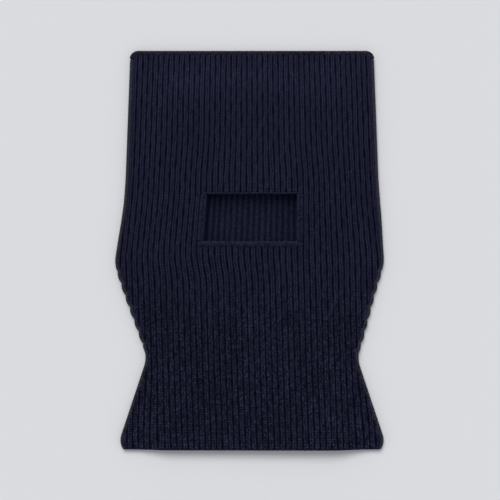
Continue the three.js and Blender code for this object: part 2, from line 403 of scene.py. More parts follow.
# %% Rib relief
ROWS_PER_COURSE = 2
COURSE = 2.42 * MM
SLACKER = 60 * MM
FURROW_HEAD, FURROW_NECK = 2.0 * MM, 1.8 * MM
GROOVE_HEAD, GROOVE_NECK = 0.74 * MM, 0.64 * MM
SHOULDER = 0.56
STITCH = 0.3 * MM
UNEVEN_HEAD, UNEVEN_NECK, MOST_UNEVEN = 0.12 * MM, 0.2 * MM, 2
REVERSE_HOLLOW = 0.9 * MM
FURROW, GROOVE, SHOULDERS, WALES = 0, 3, (1, 5), (2, 4)
# Depths, and the share of the lit colour at each: a painted shade, darkest deep in the furrows, and on the
# reverse darker all over, a painted shade for the inside of the garment.
FACE_LIT = ([0, 1.3 * MM], [1, 0])
REVERSE_LIT = ([0, REVERSE_HOLLOW], [0.62, 0.09])
LOOP_SEED = 5
loops = np.random.default_rng(LOOP_SEED)


def relief_depth(kind, row, height):
    """How far a point lies below the top of the wales: by its column, by turns with its row, and by chance.
    Below the jaw the knitting is a little slacker, so its furrows are shallower and its loops less even."""
    head = smooth((height - JAW + SLACKER) / SLACKER)
    furrow = FURROW_NECK + (FURROW_HEAD - FURROW_NECK) * head
    groove = GROOVE_NECK + (GROOVE_HEAD - GROOVE_NECK) * head
    on_shoulder = np.isin(kind, SHOULDERS)
    on_wale = np.isin(kind, WALES)
    depth = np.select([kind == FURROW, kind == GROOVE, on_shoulder], [furrow, groove, SHOULDER * furrow], 0)
    turn = np.where(row % ROWS_PER_COURSE == 0, 1, -1)
    stitch = np.select([on_wale, on_shoulder], [STITCH, -STITCH], 0)
    chance = np.clip(loops.normal(size=kind.shape), -MOST_UNEVEN, MOST_UNEVEN)
    uneven = (UNEVEN_NECK + (UNEVEN_HEAD - UNEVEN_NECK) * head) * chance
    return depth + STITCH - turn * stitch + uneven * (kind != FURROW)


def reverse_depth(kind, row, height):
    """The same on the reverse of the cloth: a hollow under each pair of wales, in step with the ribs."""
    return np.where(kind == GROOVE, REVERSE_HOLLOW, 0.0)


print("courses in the length:", round(LENGTH / COURSE), "furrow's share of the knit:",
      round(FURROW_HEAD / KNIT, 2))

# %% [markdown]
# ## One face of a panel
# A panel's face is a grid of rib columns and stitch rows. Where the outline cuts across the grid, the
# columns past it all share the point on the edge, so the grid ends there in a clean line and nothing has to
# be trimmed.

# %% Panel faces
COARSE_ROWS = 4
COARSE_COLUMNS = 3
EDGE_ROUND = 3.2 * MM
EDGE_KEEP = 0.25
SNAP = 0.3 * MM


def stretch_rows(stops, fineness):
    """Heights of the rows between stops, in whole pairs of courses that a coarser grid can share."""
    heights = [stops[:1]]
    for low, high in zip(stops[:-1], stops[1:]):
        pairs = max(1, round(fineness * (high - low) / (COURSE * COARSE_ROWS / ROWS_PER_COURSE)))
        heights.append(np.linspace(low, high, pairs * COARSE_ROWS + 1)[1:])
    return np.concatenate(heights)


def edge_numbers(x, half):
    """The first and last columns at the panel's edge in each row. Columns past them share their points."""
    right = np.argmax(x >= half, axis=1)
    left = x.shape[1] - 1 - np.argmax((x <= -half)[:, ::-1], axis=1)
    return left, right


def panel_layer(rows, columns, start, row_numbers, depth_of, lit):
    """One face of a panel as a grid of rib columns and stitch rows, trimmed to the outline. depth_of gives
    the relief, and lit says how much of the lit colour shows at which depths, which paints shade into the
    furrows. Towards the side the face turns in by a quarter circle."""
    height = np.broadcast_to(rows[:, None], (len(rows), len(columns)))
    number = np.broadcast_to(rib_numbers[columns], height.shape)
    half = half_width(rows)[:, None] - EDGE_UNDER_SEAM
    centre = middle(rows)[:, None]
    across = rib_x(number, height) - centre
    across = np.where(np.abs(across) > half - SNAP, np.sign(across) * half, across)
    left, right = edge_numbers(across, half)
    place = np.clip(np.arange(len(columns)), left[:, None], right[:, None])
    ids = start + np.arange(len(rows))[:, None] * len(columns) + place
    edge = (half - np.abs(across)) / EDGE_ROUND
    rounding = 1 - np.sqrt(np.clip(1 - (1 - np.clip(edge, 0, 1)) ** 2, 0, 1))
    kind = np.broadcast_to(column_kind[columns], height.shape)
    depth = depth_of(kind, row_numbers[:, None], height)
    return {"x": across + centre, "height": height, "number": number, "ids": ids, "left": left,
            "right": right, "rounding": rounding * (1 - EDGE_KEEP), "depth": depth,
            "relief": np.interp(depth, *lit)}


print("rows in the head:", len(stretch_rows(np.array([JAW, PANEL_TOP]), 1)), "columns:", len(rib_numbers))

# %% [markdown]
# ## Walls round a panel
# A panel is closed by walls from its outer face to its inner one: along the hem and the crown, up both
# sides, and round the face opening. Solidify could thicken a single sheet, but then both sides of the cloth
# would be the same, and in rib they are not.

# %% Panel walls
NEARLY = 0.1 * MM


def rim(fine, coarse, fine_side, coarse_side, key):
    """The wall between the two faces along one side, zipped by height or by x."""
    return zip_edges(fine["ids"][fine_side], fine[key][fine_side],
                     coarse["ids"][coarse_side], coarse[key][coarse_side])


def layer_walls(fine, coarse):
    """The four walls that close a panel: hem, crown, left edge and right edge."""
    def edge_side(layer, name):
        return np.arange(len(layer["ids"])), layer[name]

    def run(layer, row):
        return row, slice(layer["left"][row], layer["right"][row] + 1)

    walls = [rim(fine, coarse, run(fine, r), run(coarse, r), "x") for r in (0, -1)]
    walls += [rim(fine, coarse, edge_side(fine, side), edge_side(coarse, side), "height")
              for side in ("left", "right")]
    return np.concatenate(walls)


def cut_walls(fine, coarse, fine_rows, coarse_rows, cut, few_columns):
    """The four walls round the face opening, where whole ribs and whole courses are left out."""
    def span(rows):
        at = np.nonzero((rows > cut[0] - NEARLY) & (rows < cut[1] + NEARLY))[0]
        return at[0], at[-1]

    def columns(numbers):
        return np.argmin(np.abs(numbers + OPENING_RIBS)), np.argmin(np.abs(numbers - OPENING_RIBS))

    spans = span(fine_rows), span(coarse_rows)
    edges = columns(rib_numbers), columns(rib_numbers[few_columns])
    walls = []
    for end in (0, 1):
        across = [(s[end], slice(e[0], e[1] + 1)) for s, e in zip(spans, edges)]
        walls.append(rim(fine, coarse, *across, "x"))
        upright = [(slice(s[0], s[1] + 1), e[end]) for s, e in zip(spans, edges)]
        walls.append(rim(fine, coarse, *upright, "height"))
    return np.concatenate(walls)


print("the reverse has", len(rib_numbers[::COARSE_COLUMNS]), "columns")


# %% A whole panel
def knit_panel(name, stops, outer, inner, cut=None, fineness=1):
    """A closed panel of rib. outer and inner turn x, height, depth below the wales' tops and edge rounding
    into a level; cut is the (low row stop, high row stop) between which the face opening is left out."""
    rows = stretch_rows(np.asarray(stops), fineness)
    every = np.arange(len(rows))
    fine = panel_layer(rows, np.arange(len(rib_numbers)), 0, every // fineness, relief_depth, FACE_LIT)
    few_rows = every[::COARSE_ROWS]
    few_columns = np.arange(0, len(rib_numbers), COARSE_COLUMNS)
    coarse = panel_layer(rows[few_rows], few_columns, fine["x"].size, few_rows, reverse_depth,
                         REVERSE_LIT)
    triangles = [layer_walls(fine, coarse)]
    places, uvs, reliefs = [], [], []
    for layer, level in ((fine, outer), (coarse, inner)):
        keep = np.ones((layer["x"].shape[0] - 1, layer["x"].shape[1] - 1), bool)
        if cut is not None:
            cell_height = (layer["height"][:-1, :-1] + layer["height"][1:, :-1]) / 2
            cell_number = (layer["number"][:-1, :-1] + layer["number"][:-1, 1:]) / 2
            in_cut = (cell_height > cut[0]) & (cell_height < cut[1])
            keep = ~(in_cut & (np.abs(cell_number) < OPENING_RIBS))
        triangles.append(grid_triangles(layer["ids"], keep))
        z = level(layer["x"], layer["height"], layer["depth"], layer["rounding"])
        places.append(np.stack([layer["x"], layer["height"] + HEM, z], axis=-1).reshape(-1, 3))
        uvs.append(np.stack([layer["number"], layer["height"] / COURSE], axis=-1).reshape(-1, 2))
        reliefs.append(layer["relief"].ravel())
    if cut is not None:
        triangles.append(cut_walls(fine, coarse, rows, rows[few_rows], cut, few_columns))
    return make_piece(name, np.concatenate(places), np.concatenate(triangles), np.concatenate(uvs),
                      np.concatenate(reliefs))


print("a panel has up to", len(rib_numbers) // len(RIB_STOPS), "ribs, the cut leaves out", 2 * OPENING_RIBS)

# %% [markdown]
# ## The two panels
# The front panel's ribs face up and the back panel's face down, and each shows its softer reverse inside.
# On the back panel the reverse is what is seen through the face opening. The two could be one tube, but on
# the real garment they are knitted flat and joined afterwards, and so they are here.

# %% Front and back panels
def front_outer(x, height, depth, rounding):
    """The level of the front panel's upper face: inner face and knit, less the relief and the rounding."""
    return front_low(x, height) + KNIT - depth - rounding * KNIT / 2


def front_inner(x, height, depth, rounding):
    """The level of its lower face, with the relief and the rounding the other way up."""
    return front_low(x, height) + depth + rounding * KNIT / 2


def back_outer(x, height, depth, rounding):
    """The level of the back panel's lower face, which lies on the floor."""
    return depth + rounding * KNIT / 2


def back_inner(x, height, depth, rounding):
    """The level of the back panel's upper face, inside the garment."""
    return KNIT - depth - rounding * KNIT / 2


stops = [WELT, CUT_LOW, CUT_HIGH, PANEL_TOP]
front = knit_panel("front_rib_panel", stops, front_outer, front_inner, cut=(CUT_LOW, CUT_HIGH))
back = knit_panel("back_rib_panel", stops, back_outer, back_inner)

# %% [markdown]
# ## The hem welts
# Knitting starts at the neck edge with a few courses that are folded into a welt. Its ribs run straight on
# into the panel, but it is a little thicker, and its lower edge is round. A bevel on the panel's edge could
# round it, but it couldn't thicken it, so the same function makes it as a piece of its own, on finer rows.

# %% Front and back hem welts
WELT_EXTRA = 0.3 * MM
WELT_LAP = 0.4 * MM
WELT_FINENESS = 3


def hem_rounding(height):
    """How far each face turns in towards the middle of the cloth near the hem: a quarter circle."""
    near = np.clip(1 - height / (KNIT / 2), 0, 1)
    return (1 - np.sqrt(1 - near ** 2)) * KNIT / 2 * (1 - EDGE_KEEP)


welt_stops = [0.0, WELT + WELT_LAP]
front_welt = knit_panel(
    "front_welt", welt_stops,
    lambda x, h, depth, r: front_outer(x, h, depth, r) + WELT_EXTRA - hem_rounding(h),
    lambda x, h, depth, r: front_inner(x, h, depth, r) - WELT_EXTRA / 2 + hem_rounding(h),
    fineness=WELT_FINENESS)
back_welt = knit_panel(
    "back_welt", welt_stops,
    lambda x, h, depth, r: back_outer(x, h, depth, r) + hem_rounding(h),
    lambda x, h, depth, r: back_inner(x, h, depth, r) + WELT_EXTRA - hem_rounding(h),
    fineness=WELT_FINENESS)

# %% [markdown]
# ## Linked seams and edgings
# The panels are joined on a linking machine, which runs a chain of the same yarn through the open stitches
# of both. The face opening is finished with chains as well. A curve with a bevel could make such a roll,
# but a smooth one. Here each is a section carried along a path by numpy, so the chain's V's can be pressed
# into it. The section is a soft rounded box, and where a roll ends it rounds down to a point.

# %% Rolls of chain stitch
ROLL_SIDES = 20
ROLL_STEPS_PER_LINK = 6
ROLL_SOFTNESS = 0.8
ROLL_DEEPEST = 0.6 * MM
GROOVE_SPREAD = 0.3
END_ROUND = 2.0 * MM
V_SHAPE = 0.5


def chain_roll(name, path, half_across, low, high, link, relief, softness=ROLL_SOFTNESS, groove=0.0):
    """A closed roll along a path of x, height. In section it is a superellipse, |a|^(2/s) + |b|^(2/s) = 1
    for softness s. Its skin is pressed in by relief (1 - cos(2 pi (links + V_SHAPE |sin(2 turn)|))) / 2,
    which makes a V on each side, and along the middle of its upper side by groove times a bell curve. Its
    first and last rings are single points."""
    lengths = np.concatenate([[0], np.cumsum(np.hypot(*np.diff(path, axis=0).T))])
    count = int(round(lengths[-1] / link * ROLL_STEPS_PER_LINK)) + 1
    along = np.linspace(0, lengths[-1], count)
    centre = np.stack([np.interp(along, lengths, path[:, k]) for k in (0, 1)], axis=1)
    tangent = np.gradient(centre, axis=0)
    tangent /= np.linalg.norm(tangent, axis=1, keepdims=True)
    across = np.stack([tangent[:, 1], -tangent[:, 0]], axis=1)
    turn = np.linspace(0, 2 * np.pi, ROLL_SIDES, endpoint=False)
    a = np.sign(np.cos(turn)) * np.abs(np.cos(turn)) ** softness
    b = np.sign(np.sin(turn)) * np.abs(np.sin(turn)) ** softness
    links = along / link
    wave = (1 - np.cos(2 * np.pi * (links[:, None] + V_SHAPE * np.abs(np.sin(2 * turn))))) / 2
    ends = np.minimum(along, lengths[-1] - along) / END_ROUND
    taper = np.sqrt(1 - (1 - np.clip(ends, 0, 1)) ** 2)[:, None]
    bottom, top = low(centre[:, 0], centre[:, 1]), high(centre[:, 0], centre[:, 1])
    half_up = (top - bottom) / 2
    out = (half_across - relief * wave) * a * taper
    pressed = groove * np.exp(-(a / GROOVE_SPREAD) ** 2) * (b > 0)
    up = ((half_up[:, None] - relief * wave) * b - pressed) * taper + ((top + bottom) / 2)[:, None]
    x, y = centre[:, :1] + across[:, :1] * out, centre[:, 1:] + across[:, 1:] * out + HEM
    ids = np.arange(count * ROLL_SIDES).reshape(count, ROLL_SIDES)
    ids[0], ids[-1] = ids[0, 0], ids[-1, 0]
    ring = np.append(ids, ids[:, :1], axis=1)
    uv = np.stack(np.broadcast_arrays(turn / np.pi, links[:, None]), axis=-1)
    # Painted shade: less of the lit colour shows where the V's and the groove press in.
    height = 1 - np.clip((wave * relief + pressed) / ROLL_DEEPEST, 0, 1)
    return make_piece(name, np.stack([x, y, up], axis=-1).reshape(-1, 3), grid_triangles(ring),
                      uv.reshape(-1, 2), height.ravel())


print("each link of a chain takes", ROLL_STEPS_PER_LINK, "rings of", ROLL_SIDES, "points")

# %% [markdown]
# ## Side seams and crown seam
# From the hem to the crown corners each side is one seam, and the crown is another. Between the neck and
# the jaw the panels were narrowed a stitch at a time, and the seam pulls in at each of those places, which
# leaves a row of scallops. They could be modelled one by one, but they come at even steps, so the seam's
# path carries them.

# %% Side seams
SEAM_HALF = 1.8 * MM
SEAM_LINK = 2.4 * MM
SEAM_RELIEF = 0.35 * MM
SEAM_INSET = 0.2 * MM
SCALLOP = 1.7 * MM
SCALLOP_PITCH = 11.4 * MM
SCALLOP_FADE = 12 * MM
CROWN_CORNER = 6.0 * MM
OUTLINE_STEPS = 900


def scallop(height):
    """The seam's waves between neck and jaw: |sin| bumps that fade in and out at both ends."""
    inside = smooth((height - NECK) / SCALLOP_FADE) * smooth((JAW - height) / SCALLOP_FADE)
    return SCALLOP * inside * (np.abs(np.sin(np.pi * (height - NECK) / SCALLOP_PITCH)) - 0.5)


def linked_seam(name, path, half_across):
    """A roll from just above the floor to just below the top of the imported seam."""
    return chain_roll(name, path, half_across, lambda x, h: np.full(len(x), SEAM_INSET),
                      lambda x, h: np.full(len(x), SEAM_TOP - SEAM_INSET), SEAM_LINK, SEAM_RELIEF)


def side_seam(name, side):
    """The seam along one side, -1 for the left and 1 for the right."""
    height = np.linspace(SEAM_INSET, LENGTH - CROWN_CORNER - SEAM_HALF, OUTLINE_STEPS)
    x = half_width(height) - SEAM_HALF + scallop(height)
    return linked_seam(name, np.stack([side * x + middle(height), height], axis=1), SEAM_HALF)


left_seam = side_seam("left_linked_seam", -1)
right_seam = side_seam("right_linked_seam", 1)

# %% Crown seam
CROWN_HALF = 2.4 * MM
CORNER_POINTS = 12


def crown_path():
    """From one side up round the corner, across the crown, and down the other side."""
    reach = float(half_width(LENGTH - CROWN_CORNER)) - SEAM_HALF
    quarter = np.linspace(0, np.pi / 2, CORNER_POINTS)
    x = reach - CROWN_CORNER + CROWN_CORNER * np.cos(quarter)
    y = LENGTH - CROWN_HALF - CROWN_CORNER + CROWN_CORNER * np.sin(quarter)
    right = np.stack([x, y], axis=1)
    return np.concatenate([right, right[::-1] * [-1, 1]])


crown = linked_seam("crown_linked_seam", crown_path(), CROWN_HALF)

# %% [markdown]
# ## The face opening's edging
# Below the opening the stitches are bound off, which leaves a plump chain lying on its side. Above it they
# are cast on again, in a thin chain that hardly shows. Down the sides one rib's width of plain knit turns
# the edge, flat and flush with the ribs beside it. All four could be one ring, but they are worked
# differently, so each is its own roll. Each overlaps the cloth a little, as the stitches that join them do.

# %% Edging sizes
BIND_LINK = 2.65 * MM
BOUND_OFF_PROUD = 0.15 * MM
BOUND_OFF_RELIEF = 0.28 * MM
CAST_ON_RELIEF = 0.2 * MM
BAND_RELIEF = 0.06 * MM
BAND_GROOVE = 0.3 * MM
BAND_SOFTNESS = 0.38
LAP = 0.45 * MM
PATH_POINTS = 60
BAND_LOW, BAND_HIGH = (corner.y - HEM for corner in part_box("opening_edge_left"))
BAND = np.ptp(node_points("opening_edge_right")[:, 0]) - (CUT_HALF_LOW - CUT_HALF_HIGH)
BOUND_LOW, BOUND_HIGH = (corner.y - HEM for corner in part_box("opening_edge_bottom"))
print("side bands", round(float(BAND) / MM, 2), "mm wide, bound-off edge",
      round((BOUND_HIGH - BOUND_LOW) / MM, 2), "mm")


# %% Edging
def edging(name, path, half_across, proud, link, relief, softness=ROLL_SOFTNESS, groove=0.0):
    """A roll in the front panel's opening, as thick as the knit there and proud of it on both faces."""
    def low(x, height):
        return front_low(x, height) - proud

    def high(x, height):
        return front_low(x, height) + KNIT + proud

    return chain_roll(name, path, half_across, low, high, link, relief, softness, groove)


def across_path(low_edge, high_edge, half):
    """Along the middle between two heights, from one end of an edging that runs across to the other."""
    height = np.full(PATH_POINTS, (low_edge + high_edge) / 2)
    return np.stack([np.linspace(-half, half, PATH_POINTS) + cut_middle(height), height], axis=1)


def upright_path(side):
    """Along the middle of a side band, which follows the flare of the cut."""
    height = np.linspace(BAND_LOW - LAP, BAND_HIGH + LAP, PATH_POINTS)
    x = side * (cut_half_width(height) - CLEARANCE - BAND / 2) + cut_middle(height)
    return np.stack([x, height], axis=1)


def side_band(name, side):
    """The flat band down one side of the opening."""
    return edging(name, upright_path(side), (BAND + LAP) / 2, 0.0, COURSE, BAND_RELIEF, BAND_SOFTNESS,
                  BAND_GROOVE)


bound_off = edging("bound_off_edge", across_path(BOUND_LOW, BOUND_HIGH, CUT_HALF_LOW - CLEARANCE),
                   (BOUND_HIGH - BOUND_LOW) / 2 + LAP, BOUND_OFF_PROUD, BIND_LINK, BOUND_OFF_RELIEF)
cast_on = edging("cast_on_edge", across_path(CAST_ON_LOW, CUT_HIGH, CUT_HALF_HIGH - CLEARANCE),
                 CAST_ON_SHOWS / 2 + LAP, 0.0, BIND_LINK, CAST_ON_RELIEF)
left_edge = side_band("left_opening_edge", -1)
right_edge = side_band("right_opening_edge", 1)

# %% [markdown]
# ## The neck label
# A blank woven ribbon is sewn inside the back of the neck, as on most knitwear. It carries no words. A flat
# plane would do from far off, but it is seen edge-on through the open hem, so it gets a thickness, soft
# rims and a slight ripple.

# %% Neck label
LABEL_COLUMNS, LABEL_ROWS = 85, 37
CORNER_PULL_X, CORNER_PULL_Y = 0.006, 0.012
LABEL_RIM = 12
LABEL_THINNEST = 0.35
LABEL_LIFT = 0.12 * MM
RIPPLE_X, RIPPLE_Y = 5, 3
LABEL_THREAD = 0.5 * MM
label_low, label_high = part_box("neck_label")


def label_ribbon():
    """A closed thin ribbon: two faces of a grid whose rims are joined. A square law pulls its corners in a
    little, a quarter circle rounds its rims, and the product of a sine and a cosine lifts it."""
    u, v = np.meshgrid(np.linspace(-1, 1, LABEL_COLUMNS), np.linspace(-1, 1, LABEL_ROWS))
    x = u * (label_high.x - label_low.x) / 2 * (1 - CORNER_PULL_X * v ** 2)
    y = v * (label_high.y - label_low.y) / 2 * (1 - CORNER_PULL_Y * u ** 2)
    y = y + (label_low.y + label_high.y) / 2
    edge = np.clip(np.minimum(1 - np.abs(u), 1 - np.abs(v)) * LABEL_RIM, 0, 1)
    plump = LABEL_THINNEST + (1 - LABEL_THINNEST) * np.sqrt(1 - (1 - edge) ** 2)
    thickness = (label_high.z - label_low.z) * plump
    under = label_low.z + LABEL_LIFT * (np.sin(u * RIPPLE_X) * np.cos(v * RIPPLE_Y) + 1)
    faces = [np.stack([x, y, z], axis=-1).reshape(-1, 3) for z in (under + thickness, under)]
    ids = np.arange(x.size).reshape(x.shape)
    skins = [grid_triangles(ids), grid_triangles(ids + x.size)[:, ::-1]]
    loop = np.concatenate([ids[0, :-1], ids[:-1, -1], ids[-1, :0:-1], ids[:0:-1, 0]])
    step = np.roll(loop, -1)
    wall = np.concatenate([np.stack([loop, loop + x.size, step], axis=1),
                           np.stack([step, loop + x.size, step + x.size], axis=1)])
    uv = np.stack([x, y], axis=-1).reshape(-1, 2) / LABEL_THREAD
    return make_piece("label_ribbon", np.concatenate(faces), np.concatenate([*skins, wall]),
                      np.concatenate([uv, uv]), np.ones(2 * x.size))


label = label_ribbon()

# %% [markdown]
# ## Yarn
# The yarn is a soft wool blend, spun from several dark blue fibres, so its colour is never quite even. An
# image of knitting could be wrapped round the garment, but it would blur close to and wouldn't follow the
# ribs. So the finish is worked out at every point from its place and its stitch, in a shader group that all
# the pieces share. First come the small helpers that put nodes together.

# %% Shader helpers
def new_material(name):
    """A material that uses nodes, with its nodes and its links."""
    material = bpy.data.materials.new(name)
    material.use_nodes = True
    return material, material.node_tree.nodes, material.node_tree.links


def fill_sockets(links, sockets, values):
    """Each value goes into its socket: a link from another socket, or a plain number or colour."""
    for socket, value in zip(sockets, values):
        if isinstance(value, bpy.types.NodeSocket):
            links.new(value, socket)
        elif value is not None:
            socket.default_value = value


def math_node(nodes, links, kind, first, second=None):
    """One step of arithmetic on two values, each a socket or a number."""
    node = nodes.new("ShaderNodeMath")
    node.operation = kind
    fill_sockets(links, node.inputs, (first, second))
    return node.outputs[0]


def mix_colour(nodes, links, factor, first, second, blend="MIX"):
    """Two colours mixed by a factor: inputs 0, 6 and 7 of a Mix node are its factor and its colours."""
    node = nodes.new("ShaderNodeMix")
    node.data_type = "RGBA"
    node.blend_type = blend
    fill_sockets(links, (node.inputs[0], node.inputs[6], node.inputs[7]), (factor, first, second))
    return node.outputs[2]


helpers = (new_material, fill_sockets, math_node, mix_colour)
print("helpers:", ", ".join(helper.__name__ for helper in helpers))

# %% [markdown]
# ## What the yarn group gives
# The colour in the furrows is a painted shade: the painted shade colour there stands for the light that
# doesn't reach them, apart from stray fibres that cross them, which are painted lit. On the wales it changes
# from fibre to fibre, from leg to leg of each V and in long faint streaks. Below the jaw the knitting is
# slacker, so it changes more, and it is painted a little darker there, a painted shade for the light that
# falls off away from the crown. The roughness follows the fibres. The height is for a bump: plies, loops and
# fibres are too fine for the mesh. Each of these could be painted, but a sum of a few noises and waves, each
# with its share, is quicker to change.

# %% What the yarn is made of
GROUP_INPUTS = [("Stitches", "Vector"), ("Place", "Vector"), ("Relief", "Float"), ("Lit colour", "Color"),
                ("Deep colour", "Color"), ("Mottle", "Float")]
GROUP_OUTPUTS = [("Colour", "Color"), ("Roughness", "Float"), ("Height", "Float")]
WALES_PER_RIB = 2.0
PLIES_PER_LOOP = 4
LEGS_PER_WALE = 2.0
# The scale and the detail of each noise that follows the place.
NOISE_SIZES = {"fibres": (1000, 3), "tufts": (420, 2), "cloth": (16, 3)}
STREAKS_PER_WALE = 0.9
STREAK_LENGTH = 20.0
STREAK_DETAIL = 2
SLACK = 2.2
# Painted shade: how much darker the colour is below the jaw, for the light falling off away from the crown.
SHADE_PAINTED_BELOW_JAW = 0.07
FUZZ_IN_HOLLOWS = 0.1
DARKEST = 0.15
COLOUR_SHARES = {"fibres": 1.9, "tufts": 0.4, "cloth": 0.5, "streaks": 1.0, "legs": 0.9, "loop": 0.25}
STRAY_SHARES = {"fibres": 0.45, "legs": 0.1}
HEIGHT_SHARES = {"ply": 0.05, "loop": 0.14, "fibres": 0.6, "tufts": 0.5, "legs": 0.25}
ROUGHNESS, FIBRE_ROUGHNESS = 0.9, 0.15
print("the colour is mixed from", ", ".join(COLOUR_SHARES))


# %% The yarn group
def yarn_group():
    """The group spun_yarn. Along a V the course less the distance from the wale's middle is constant."""
    group = bpy.data.node_groups.new("spun_yarn", "ShaderNodeTree")
    for direction, sockets in (("INPUT", GROUP_INPUTS), ("OUTPUT", GROUP_OUTPUTS)):
        for name, kind in sockets:
            group.interface.new_socket(name, in_out=direction, socket_type="NodeSocket" + kind)
    nodes, links = group.nodes, group.links
    entry, leave = nodes.new("NodeGroupInput"), nodes.new("NodeGroupOutput")

    def calc(kind, first, second=None):
        return math_node(nodes, links, kind, first, second)

    def noise(scale, detail, where):
        node = nodes.new("ShaderNodeTexNoise")
        node.inputs["Scale"].default_value = scale
        node.inputs["Detail"].default_value = detail
        links.new(where, node.inputs["Vector"])
        return calc("SUBTRACT", node.outputs["Fac"], 0.5)

    def pair(first, second):
        node = nodes.new("ShaderNodeCombineXYZ")
        fill_sockets(links, node.inputs[:2], (first, second))
        return node.outputs[0]

    def sum_of(shares, start=0.0):
        total = start
        for name, share in shares.items():
            total = calc("ADD", calc("MULTIPLY", part[name], share), total)
        return total

    split = nodes.new("ShaderNodeSeparateXYZ")
    links.new(entry.outputs["Stitches"], split.inputs[0])
    wale = calc("MULTIPLY", split.outputs["X"], WALES_PER_RIB)
    side = calc("ABSOLUTE", calc("SUBTRACT", calc("FRACT", wale), 0.5))
    leg = calc("SUBTRACT", split.outputs["Y"], side)
    each_leg = nodes.new("ShaderNodeTexWhiteNoise")
    leg_number = pair(*(calc("FLOOR", calc("MULTIPLY", n, LEGS_PER_WALE)) for n in (wale, leg)))
    links.new(leg_number, each_leg.inputs["Vector"])
    slack_range = nodes.new("ShaderNodeMapRange")
    fill_sockets(links, slack_range.inputs[:5],
                 (split.outputs["Y"], (JAW - SLACKER) / COURSE, JAW / COURSE, SLACK, 1.0))
    slack = slack_range.outputs["Result"]
    streak_place = pair(calc("MULTIPLY", wale, STREAKS_PER_WALE),
                        calc("DIVIDE", split.outputs["Y"], STREAK_LENGTH))
    part = {
        "loop": calc("SINE", calc("MULTIPLY", leg, 2 * np.pi)),
        "ply": calc("SINE", calc("MULTIPLY", leg, 2 * np.pi * PLIES_PER_LOOP)),
        "legs": calc("SUBTRACT", each_leg.outputs["Value"], 0.5),
        "streaks": noise(1.0, STREAK_DETAIL, streak_place),
        "relief": entry.outputs["Relief"],
        "slack": slack,
    }
    for name, (scale, detail) in NOISE_SIZES.items():
        part[name] = noise(scale, detail, entry.outputs["Place"])
    mottle = calc("MULTIPLY", sum_of(COLOUR_SHARES), slack)
    mottle = calc("MULTIPLY", mottle, sum_of({"relief": 1 - FUZZ_IN_HOLLOWS}, start=FUZZ_IN_HOLLOWS))
    mottle = calc("MULTIPLY", mottle, entry.outputs["Mottle"])
    # Painted shade: the colour is made darker below the jaw.
    even = sum_of({"slack": -SHADE_PAINTED_BELOW_JAW}, start=1 + SHADE_PAINTED_BELOW_JAW)
    shade = calc("MAXIMUM", calc("ADD", mottle, even), DARKEST)
    # Painted shade: the relief attribute and stray fibres set how much of the lit colour shows; the rest is
    # the painted shade colour.
    stray = calc("MULTIPLY", calc("MULTIPLY", sum_of(STRAY_SHARES), slack), entry.outputs["Mottle"])
    lit_share = calc("ADD", entry.outputs["Relief"], stray)
    base = mix_colour(nodes, links, lit_share, entry.outputs["Deep colour"], entry.outputs["Lit colour"])
    grey = nodes.new("ShaderNodeCombineColor")
    for socket in grey.inputs[:3]:
        links.new(shade, socket)
    links.new(mix_colour(nodes, links, 1.0, base, grey.outputs[0], "MULTIPLY"), leave.inputs["Colour"])
    links.new(sum_of({"fibres": FIBRE_ROUGHNESS}, start=ROUGHNESS), leave.inputs["Roughness"])
    links.new(sum_of(HEIGHT_SHARES), leave.inputs["Height"])
    return group


YARN = yarn_group()
print("yarn group:", len(YARN.nodes), "nodes")

# %% [markdown]
# ## Yarn materials
# Each piece has the same yarn in its own colour. The side seams are painted paler and greyer, a painted
# highlight for the light that catches the fuzz of the proud linking yarn. The crown seam faces the light and
# would glare, so its colour is painted darker, a painted shade. The hem welts are painted lighter, a painted
# light for their rounded faces, which the light from beyond the crown hardly reaches. The edging is worked
# tighter, and so it is darker and more even. Sheen stands for the halo of fine fuzz. Separate textures for
# each piece would drift apart, and one group with its own values in each material doesn't.

# %% Materials
YARN_DEPTH = 1.0 * MM
SPECULAR = 0.04
SHEEN_ROUGHNESS = 0.5
SHEEN_TINT = (0.75, 0.76, 0.85, 1)


def yarn_material(name, lit, deep, mottle, bump, sheen):
    """A knitted finish: the yarn group's colour, roughness and plies under a sheen of fine fuzz. deep is the
    painted shade colour of the furrows and hollows.
    """
    material, nodes, links = new_material(name)
    shader = nodes["Principled BSDF"]
    group = nodes.new("ShaderNodeGroup")
    group.node_tree = YARN
    uv = nodes.new("ShaderNodeUVMap")
    uv.uv_map = "Knit"
    place = nodes.new("ShaderNodeTexCoord")
    relief = nodes.new("ShaderNodeAttribute")
    relief.attribute_name = "relief"
    fill_sockets(links, group.inputs, (uv.outputs["UV"], place.outputs["Object"], relief.outputs["Fac"],
                                       (*lit, 1), (*deep, 1), mottle))
    bump_node = nodes.new("ShaderNodeBump")
    bump_node.inputs["Strength"].default_value = bump
    bump_node.inputs["Distance"].default_value = YARN_DEPTH
    links.new(group.outputs["Height"], bump_node.inputs["Height"])
    links.new(bump_node.outputs["Normal"], shader.inputs["Normal"])
    links.new(group.outputs["Colour"], shader.inputs["Base Color"])
    links.new(group.outputs["Roughness"], shader.inputs["Roughness"])
    shader.inputs["Specular IOR Level"].default_value = SPECULAR
    shader.inputs["Sheen Weight"].default_value = sheen
    shader.inputs["Sheen Roughness"].default_value = SHEEN_ROUGHNESS
    shader.inputs["Sheen Tint"].default_value = SHEEN_TINT
    print("material", name)
    return material


# Painted shade: the colour that the furrows, the hollows and the chains' V's get.
NAVY_PAINTED_SHADE = (0.0008, 0.0012, 0.0078)
NAVY_LIT = (0.0171, 0.0185, 0.0388)
# Painted light: the hem welts' colour is lighter for their rounded faces, which get little light.
HEM_PAINTED_LIGHTER = (0.0228, 0.0239, 0.0495)
